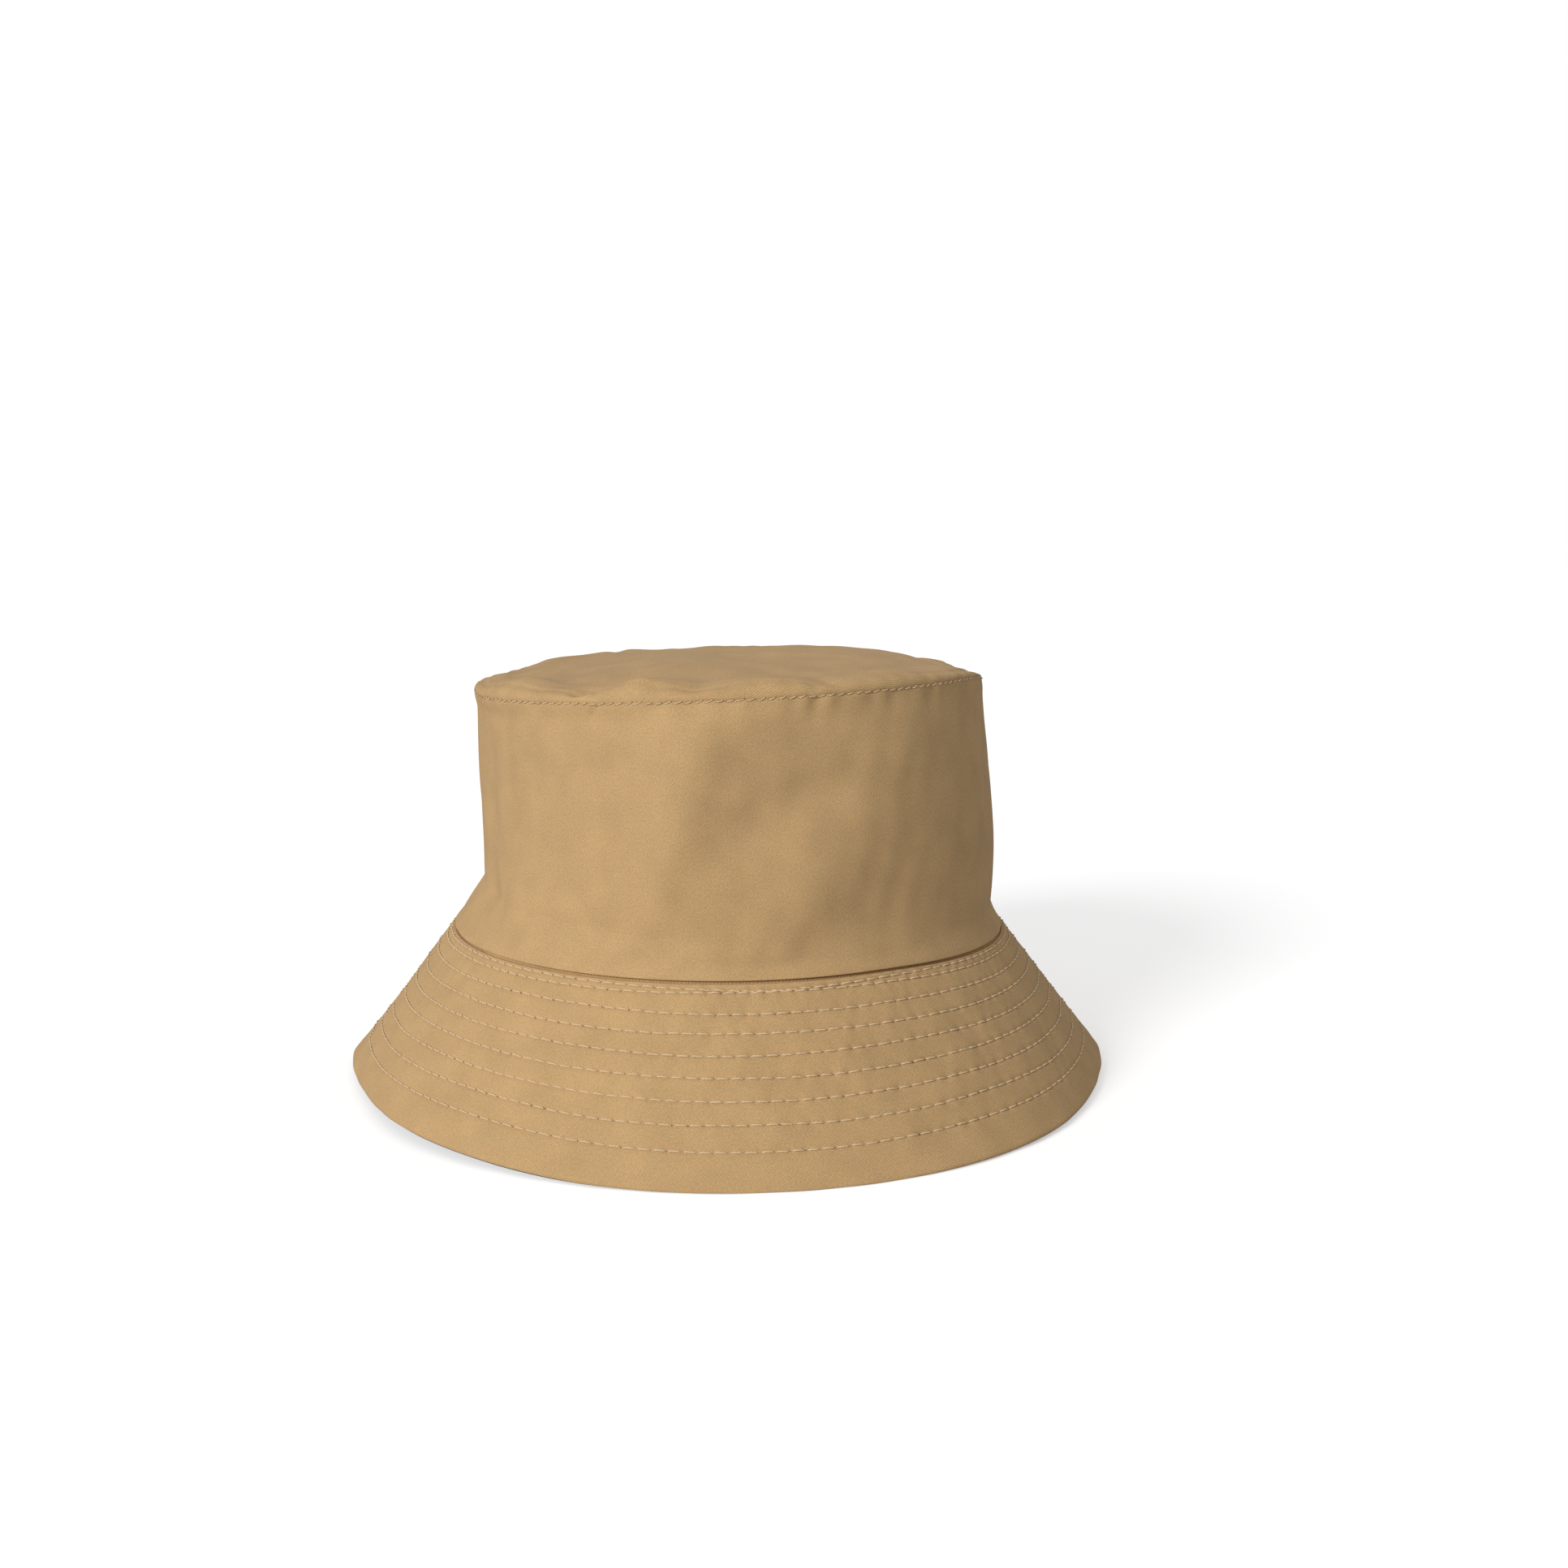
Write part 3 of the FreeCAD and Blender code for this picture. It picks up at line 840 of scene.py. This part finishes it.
def build_seam_threads(materials):
    """Threads of the tip, join, side and edge seams."""
    build_tip_rows(materials)
    gap = CLOTH + 0.15
    stitches = round(2 * math.pi * SEAM_LENGTH / TIP_STITCH)

    def hidden(name, node, slot, place, normal):
        join_tubes(name, [stitch_tubes(place, normal, HIDDEN_RADIUS)], [node], materials[slot])

    def around_hat():
        angles = np.linspace(-math.pi, math.pi, stitches * STITCH_POINTS)
        return angles.reshape(stitches, STITCH_POINTS)

    def along_wall(height, depth):
        angle = around_hat()
        point = crown_wall(angle, np.full_like(angle, height), depth)
        return point, outward(angle, SEAM_WIDTH, SEAM_LENGTH)

    def along_brim(down, depth):
        angle = around_hat()
        relief = brim_waves(angle, down) - depth
        return brim_base(angle, down) + column(relief) * brim_normal(angle), brim_normal(angle)

    hidden("tip_seam_outer_stitches", "tip_seam_thread_outer", "outer_thread",
           *along_wall(CROWN_HEIGHT - 0.8, gap))
    hidden("tip_seam_lining_stitches", "tip_seam_thread_lining", "lining_thread",
           *along_wall(CROWN_HEIGHT - 3.6, WALL - CLOTH - 0.2))
    hidden("join_seam_outer_stitches", "join_seam_thread_outer", "outer_thread",
           *along_brim(1.0, 1.6))
    hidden("join_seam_lining_stitches", "join_seam_thread_lining", "lining_thread",
           *along_brim(1.0, 2.9))
    hidden("brim_edge_seam_stitches", "brim_edge_seam_thread", "outer_thread",
           *along_brim(BRIM_SLOPE - 0.4, 1.05))
    build_side_threads(materials)


def build_tip_rows(materials):
    """The row of slanted stitches along the tip seam, outside and in the lining."""
    count = round(2 * math.pi * math.sqrt((SEAM_WIDTH**2 + SEAM_LENGTH**2) / 2) / TIP_STITCH)

    def groove(angle, across):
        low = crown_outside(angle, np.full_like(angle, CROWN_HEIGHT - 0.6))
        high = crown_tip(angle, np.full_like(angle, 0.7))
        share = column(across + 0.5)
        return low + (high - low) * share

    def outside(angle):
        return outward(angle, SEAM_WIDTH, SEAM_LENGTH)

    tubes = stitch_tubes(*seam_row(groove, outside, count, 0.82, 0.9, -0.08, 71), 0.17)
    join_tubes("tip_topstitch_outer_stitches", [tubes],
               ["tip_topstitch_outer"], materials["outer_thread"])

    def inside(angle, across):
        return crown_wall(angle, CROWN_HEIGHT - LINING_ROW_DROP + across, WALL + 0.1)

    place, normal = seam_row(inside, outside, count, 0.8, 0.2, -0.3, 72)
    join_tubes("tip_topstitch_lining_stitches", [stitch_tubes(place, -normal, 0.2)],
               ["tip_topstitch_lining"], materials["lining_thread"])


def build_side_threads(materials):
    """Upright seam threads at both sides of the crown and the brim."""
    def upright(height, depth):
        tubes = []
        for side in (-QUARTER, QUARTER):
            count = int((height[1] - height[0]) / 2.6)
            along = np.linspace(height[0], height[1], count * SIDE_STITCH_POINTS)
            along = along.reshape(count, SIDE_STITCH_POINTS)
            angle = np.full_like(along, side)
            place = crown_wall(angle, along, depth)
            tubes.append(stitch_tubes(place, outward(angle, SEAM_WIDTH, SEAM_LENGTH), HIDDEN_RADIUS))
        return tubes

    def sloping(depth):
        tubes = []
        for side in (-QUARTER, QUARTER):
            down = np.linspace(2.0, BRIM_SLOPE - 2.0, 100).reshape(-1, SIDE_STITCH_POINTS)
            angle = np.full_like(down, side)
            relief = brim_waves(angle, down) - depth
            place = brim_base(angle, down) + column(relief) * brim_normal(angle)
            tubes.append(stitch_tubes(place, brim_normal(angle), HIDDEN_RADIUS))
        return tubes

    outer = upright((2.0, CROWN_HEIGHT - 2), CLOTH)
    join_tubes("side_seam_outer_stitches", outer,
               ["side_seam_threads_outer"], materials["outer_thread"])
    lining = upright((2.0, CROWN_HEIGHT - 5), WALL - CLOTH - 0.2)
    join_tubes("side_seam_lining_stitches", lining,
               ["side_seam_threads_lining"], materials["lining_thread"])
    join_tubes("brim_side_seam_stitches", sloping(0.6) + sloping(1.5),
               ["brim_side_seam_threads"], materials["outer_thread"])


# Materials


class Nodes:
    """Small helper that adds shader nodes and links them."""

    def __init__(self, name):
        self.material = bpy.data.materials.new(name)
        self.material.use_nodes = True
        self.tree = self.material.node_tree
        self.surface = self.tree.nodes["Principled BSDF"]

    def add(self, kind, inputs=(), **settings):
        """Adds a node. inputs maps an input's name or number to a value or to an output."""
        node = self.tree.nodes.new(kind)
        for key, value in settings.items():
            setattr(node, key, value)
        for key, value in dict(inputs).items():
            self.set(node, key, value)
        return node

    def set(self, node, key, value):
        """Links an output to an input, or gives the input a plain value."""
        if isinstance(value, bpy.types.NodeSocket):
            self.tree.links.new(value, node.inputs[key])
        else:
            node.inputs[key].default_value = value

    def math(self, operation, first, second=0.0):
        """Result of a sum on one or two values."""
        return self.add("ShaderNodeMath", {0: first, 1: second}, operation=operation).outputs[0]

    def mix(self, share, first, second):
        """Blend of two colours."""
        node = self.add("ShaderNodeMix", {0: share, 6: first, 7: second}, data_type="RGBA")
        return node.outputs[2]

    def noise(self, place, scale, detail=2.0):
        """Smooth noise at this many cycles per millimetre of cloth."""
        node = self.add("ShaderNodeTexNoise", {"Vector": place, "Scale": scale, "Detail": detail})
        return node.outputs["Fac"]

    def spread(self, value, low, high):
        """Maps a noise's middle range to low..high."""
        inputs = {0: value, 1: 0.3, 2: 0.7, 3: low, 4: high}
        return self.add("ShaderNodeMapRange", inputs).outputs[0]


def rgb(red, green, blue):
    """Opaque colour."""
    return (red, green, blue, 1.0)


def twill(name, colour, ridge_share, mottle, sheen):
    """Cotton twill: diagonal ribs of yarn, with uneven dye and a soft nap."""
    nodes = Nodes(name)
    place = nodes.add("ShaderNodeUVMap", uv_map="cloth").outputs[0]
    split = nodes.add("ShaderNodeSeparateXYZ", {0: place})
    across, up = split.outputs[0], split.outputs[1]
    rib_angle = math.radians(32)
    rib_pitch = 0.57
    yarn_pitch = 0.42
    rib_place = nodes.math("ADD", nodes.math("MULTIPLY", up, math.cos(rib_angle)),
                           nodes.math("MULTIPLY", across, -math.sin(rib_angle)))
    wobble = nodes.math("MULTIPLY", nodes.noise(place, 0.9), 0.35)
    rib_place = nodes.math("ADD", rib_place, wobble)
    rib = nodes.math("SINE", nodes.math("MULTIPLY", rib_place, 2 * math.pi / rib_pitch))
    yarn = nodes.math("SINE", nodes.math("MULTIPLY", across, 2 * math.pi / yarn_pitch))
    weave = nodes.math("ADD", nodes.math("MULTIPLY", rib, 0.75), nodes.math("MULTIPLY", yarn, 0.25))
    slub = nodes.spread(nodes.noise(place, 1.6, 3.0), 1 - mottle, 1 + mottle)
    patch = nodes.spread(nodes.noise(place, 0.09, 2.0), 1 - 0.5 * mottle, 1 + 0.5 * mottle)
    shade = nodes.math("ADD", nodes.math("MULTIPLY", weave, ridge_share), 1.0)
    shade = nodes.math("MULTIPLY", nodes.math("MULTIPLY", shade, slub), patch)
    warm = tuple(min(c * f, 1.0) for c, f in zip(colour, (1.04, 0.99, 0.95)))
    cool = tuple(min(c * f, 1.0) for c, f in zip(colour, (0.97, 1.0, 1.01)))
    tint = nodes.mix(nodes.spread(nodes.noise(place, 0.55, 3.0), 0.0, 1.0), rgb(*warm), rgb(*cool))
    scaled = nodes.add("ShaderNodeVectorMath", {0: tint, 3: shade}, operation="SCALE").outputs[0]
    nodes.set(nodes.surface, "Base Color", scaled)
    fine = nodes.math("MULTIPLY", nodes.noise(place, 3.2, 3.0), 1.2)
    height = nodes.math("ADD", weave, fine)
    bump = nodes.add("ShaderNodeBump", {"Height": height, "Strength": 0.35, "Distance": 0.00006})
    nodes.set(nodes.surface, "Normal", bump.outputs[0])
    nodes.set(nodes.surface, "Roughness", nodes.spread(nodes.noise(place, 0.8), 0.82, 0.95))
    nodes.set(nodes.surface, "Specular IOR Level", 0.25)
    nodes.set(nodes.surface, "Sheen Weight", sheen)
    nodes.set(nodes.surface, "Sheen Roughness", 0.5)
    nodes.set(nodes.surface, "Sheen Tint", rgb(1.0, 0.94, 0.86))
    return nodes.material


def thread(name, colour, hole_shade_colour):
    """Spun thread: two plies twisted together, with painted shade at its ends, where a stitch goes into the
    cloth.
    """
    nodes = Nodes(name)
    place = nodes.add("ShaderNodeUVMap", uv_map="cloth").outputs[0]
    split = nodes.add("ShaderNodeSeparateXYZ", {0: place})
    along, around = split.outputs[0], split.outputs[1]
    plies = nodes.math("ADD", nodes.math("MULTIPLY", along, 7.0), nodes.math("MULTIPLY", around, 2.0))
    twist = nodes.math("SINE", nodes.math("MULTIPLY", plies, 2 * math.pi))
    middle = nodes.math("SUBTRACT", 0.5, nodes.math("ABSOLUTE", nodes.math("SUBTRACT", along, 0.5)))
    # Painted shade: each stitch's ends darken towards the hole shade colour, standing in for the shadow
    # inside its needle hole.
    hole_shade_mask = nodes.add("ShaderNodeMapRange", {0: middle, 1: 0.05, 2: 0.14, 3: 1.0, 4: 0.0}).outputs[0]
    shade = nodes.math("ADD", nodes.math("MULTIPLY", twist, 0.1), 1.0)
    lit = nodes.add("ShaderNodeVectorMath", {0: colour[:3], 3: shade}, operation="SCALE").outputs[0]
    nodes.set(nodes.surface, "Base Color", nodes.mix(hole_shade_mask, lit, rgb(*hole_shade_colour)))
    bump = nodes.add("ShaderNodeBump", {"Height": twist, "Strength": 0.5, "Distance": 0.00008})
    nodes.set(nodes.surface, "Normal", bump.outputs[0])
    nodes.set(nodes.surface, "Roughness", 0.55)
    nodes.set(nodes.surface, "Sheen Weight", 0.2)
    return nodes.material


def felt(name, colour):
    """Stiffener with a faint grid."""
    nodes = Nodes(name)
    place = nodes.add("ShaderNodeUVMap", uv_map="cloth").outputs[0]
    split = nodes.add("ShaderNodeSeparateXYZ", {0: place})
    grid = nodes.math("MULTIPLY", nodes.math("SINE", nodes.math("MULTIPLY", split.outputs[0], 5.0)),
                      nodes.math("SINE", nodes.math("MULTIPLY", split.outputs[1], 5.0)))
    mottle = nodes.spread(nodes.noise(place, 0.5), 0.9, 1.05)
    shade = nodes.math("ADD", nodes.math("MULTIPLY", grid, 0.1), mottle)
    lit = nodes.add("ShaderNodeVectorMath", {0: colour, 3: shade}, operation="SCALE").outputs[0]
    nodes.set(nodes.surface, "Base Color", lit)
    nodes.set(nodes.surface, "Roughness", 0.95)
    return nodes.material


def build_materials():
    """Material of each slot: two cloths, two threads and the stiffener."""
    tan = (0.560, 0.364, 0.173)
    charcoal = (0.035, 0.034, 0.037)
    return {
        "outer_twill": twill("outer_twill", tan, 0.2, 0.11, 0.05),
        "lining_twill": twill("lining_twill", charcoal, 0.25, 0.15, 0.05),
        # The third colour of each thread is painted shade, where its stitches sink into their needle holes.
        "outer_thread": thread("outer_thread", (0.76, 0.56, 0.33), (0.09, 0.045, 0.018)),
        "lining_thread": thread("lining_thread", (0.06, 0.058, 0.06), (0.01, 0.01, 0.01)),
        "interlining": felt("interlining", (0.72, 0.70, 0.64)),
    }


# Studio


def add_sun(name, direction, strength, softness):
    """Distant light that shines from a direction. softness is its width in degrees."""
    data = bpy.data.lights.new(name, "SUN")
    data.angle = math.radians(softness)
    data.energy = strength
    light = bpy.data.objects.new(name, data)
    light.rotation_euler = Vector(direction).to_track_quat("Z", "Y").to_euler()
    bpy.context.scene.collection.objects.link(light)


def build_floor():
    """Plain pale floor."""
    across = np.linspace(-30.0, 30.0, 7)
    x, y = np.meshgrid(across, across, indexing="ij")
    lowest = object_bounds()[0].z
    points = np.stack([x, y, np.full_like(x, lowest)], -1).reshape(-1, 3)
    mesh = bpy.data.meshes.new("floor")
    mesh.from_pydata(points.tolist(), [], grid_faces(7, 7).tolist())
    floor = bpy.data.objects.new("floor", mesh)
    bpy.context.scene.collection.objects.link(floor)
    nodes = Nodes("floor")
    seen = nodes.add("ShaderNodeLightPath").outputs["Is Camera Ray"]
    nodes.set(nodes.surface, "Base Color", nodes.mix(seen, rgb(0.5, 0.5, 0.5), rgb(0.9, 0.9, 0.9)))
    nodes.set(nodes.surface, "Roughness", 0.9)
    nodes.set(nodes.surface, "Specular IOR Level", 0.0)
    nodes.set(nodes.surface, "Emission Color", rgb(1.0, 1.0, 1.0))
    nodes.set(nodes.surface, "Emission Strength", nodes.math("MULTIPLY", seen, 0.46))
    mesh.materials.append(nodes.material)


def build_studio():
    """White surroundings and one soft light from the left and in front."""
    scene = bpy.context.scene
    scene.view_settings.view_transform = "Standard"
    world = bpy.data.worlds.new("studio")
    world.use_nodes = True
    tree = world.node_tree
    path = tree.nodes.new("ShaderNodeLightPath")
    seen = tree.nodes.new("ShaderNodeMapRange")
    seen.inputs["To Min"].default_value = 0.43
    seen.inputs["To Max"].default_value = 1.0
    tree.links.new(path.outputs["Is Camera Ray"], seen.inputs["Value"])
    tree.links.new(seen.outputs[0], tree.nodes["Background"].inputs["Strength"])
    tree.nodes["Background"].inputs["Color"].default_value = rgb(1.0, 1.0, 1.0)
    scene.world = world
    add_sun("key", (-0.58, -0.73, 0.37), 2.05, 20)


def build_camera():
    """Camera a little above the hat, looking at the middle of the join of crown and brim."""
    distance = 0.5827
    elevation = math.radians(11.28)
    roll = math.radians(0.45)
    data = bpy.data.cameras.new("camera")
    data.sensor_width = 36.0
    data.lens = 39.78
    data.shift_x = 0.0368
    data.shift_y = 0.0817
    data.clip_start = 0.01
    camera = bpy.data.objects.new("camera", data)
    target = Vector((0.0, 0.0, JOIN_Z * MM))
    camera.location = target + distance * Vector((0.0, -math.cos(elevation), math.sin(elevation)))
    look = (target - camera.location).to_track_quat("-Z", "Y")
    spin = Matrix.Rotation(-roll, 4, "Z").to_quaternion()
    camera.rotation_euler = (look @ spin).to_euler()
    bpy.context.scene.collection.objects.link(camera)
    bpy.context.scene.camera = camera


MATERIALS = build_materials()
build_crown_sides(MATERIALS)
build_tips(MATERIALS)
build_brim(MATERIALS)
build_brim_rows(MATERIALS)
build_seam_threads(MATERIALS)
build_floor()
build_studio()
build_camera()
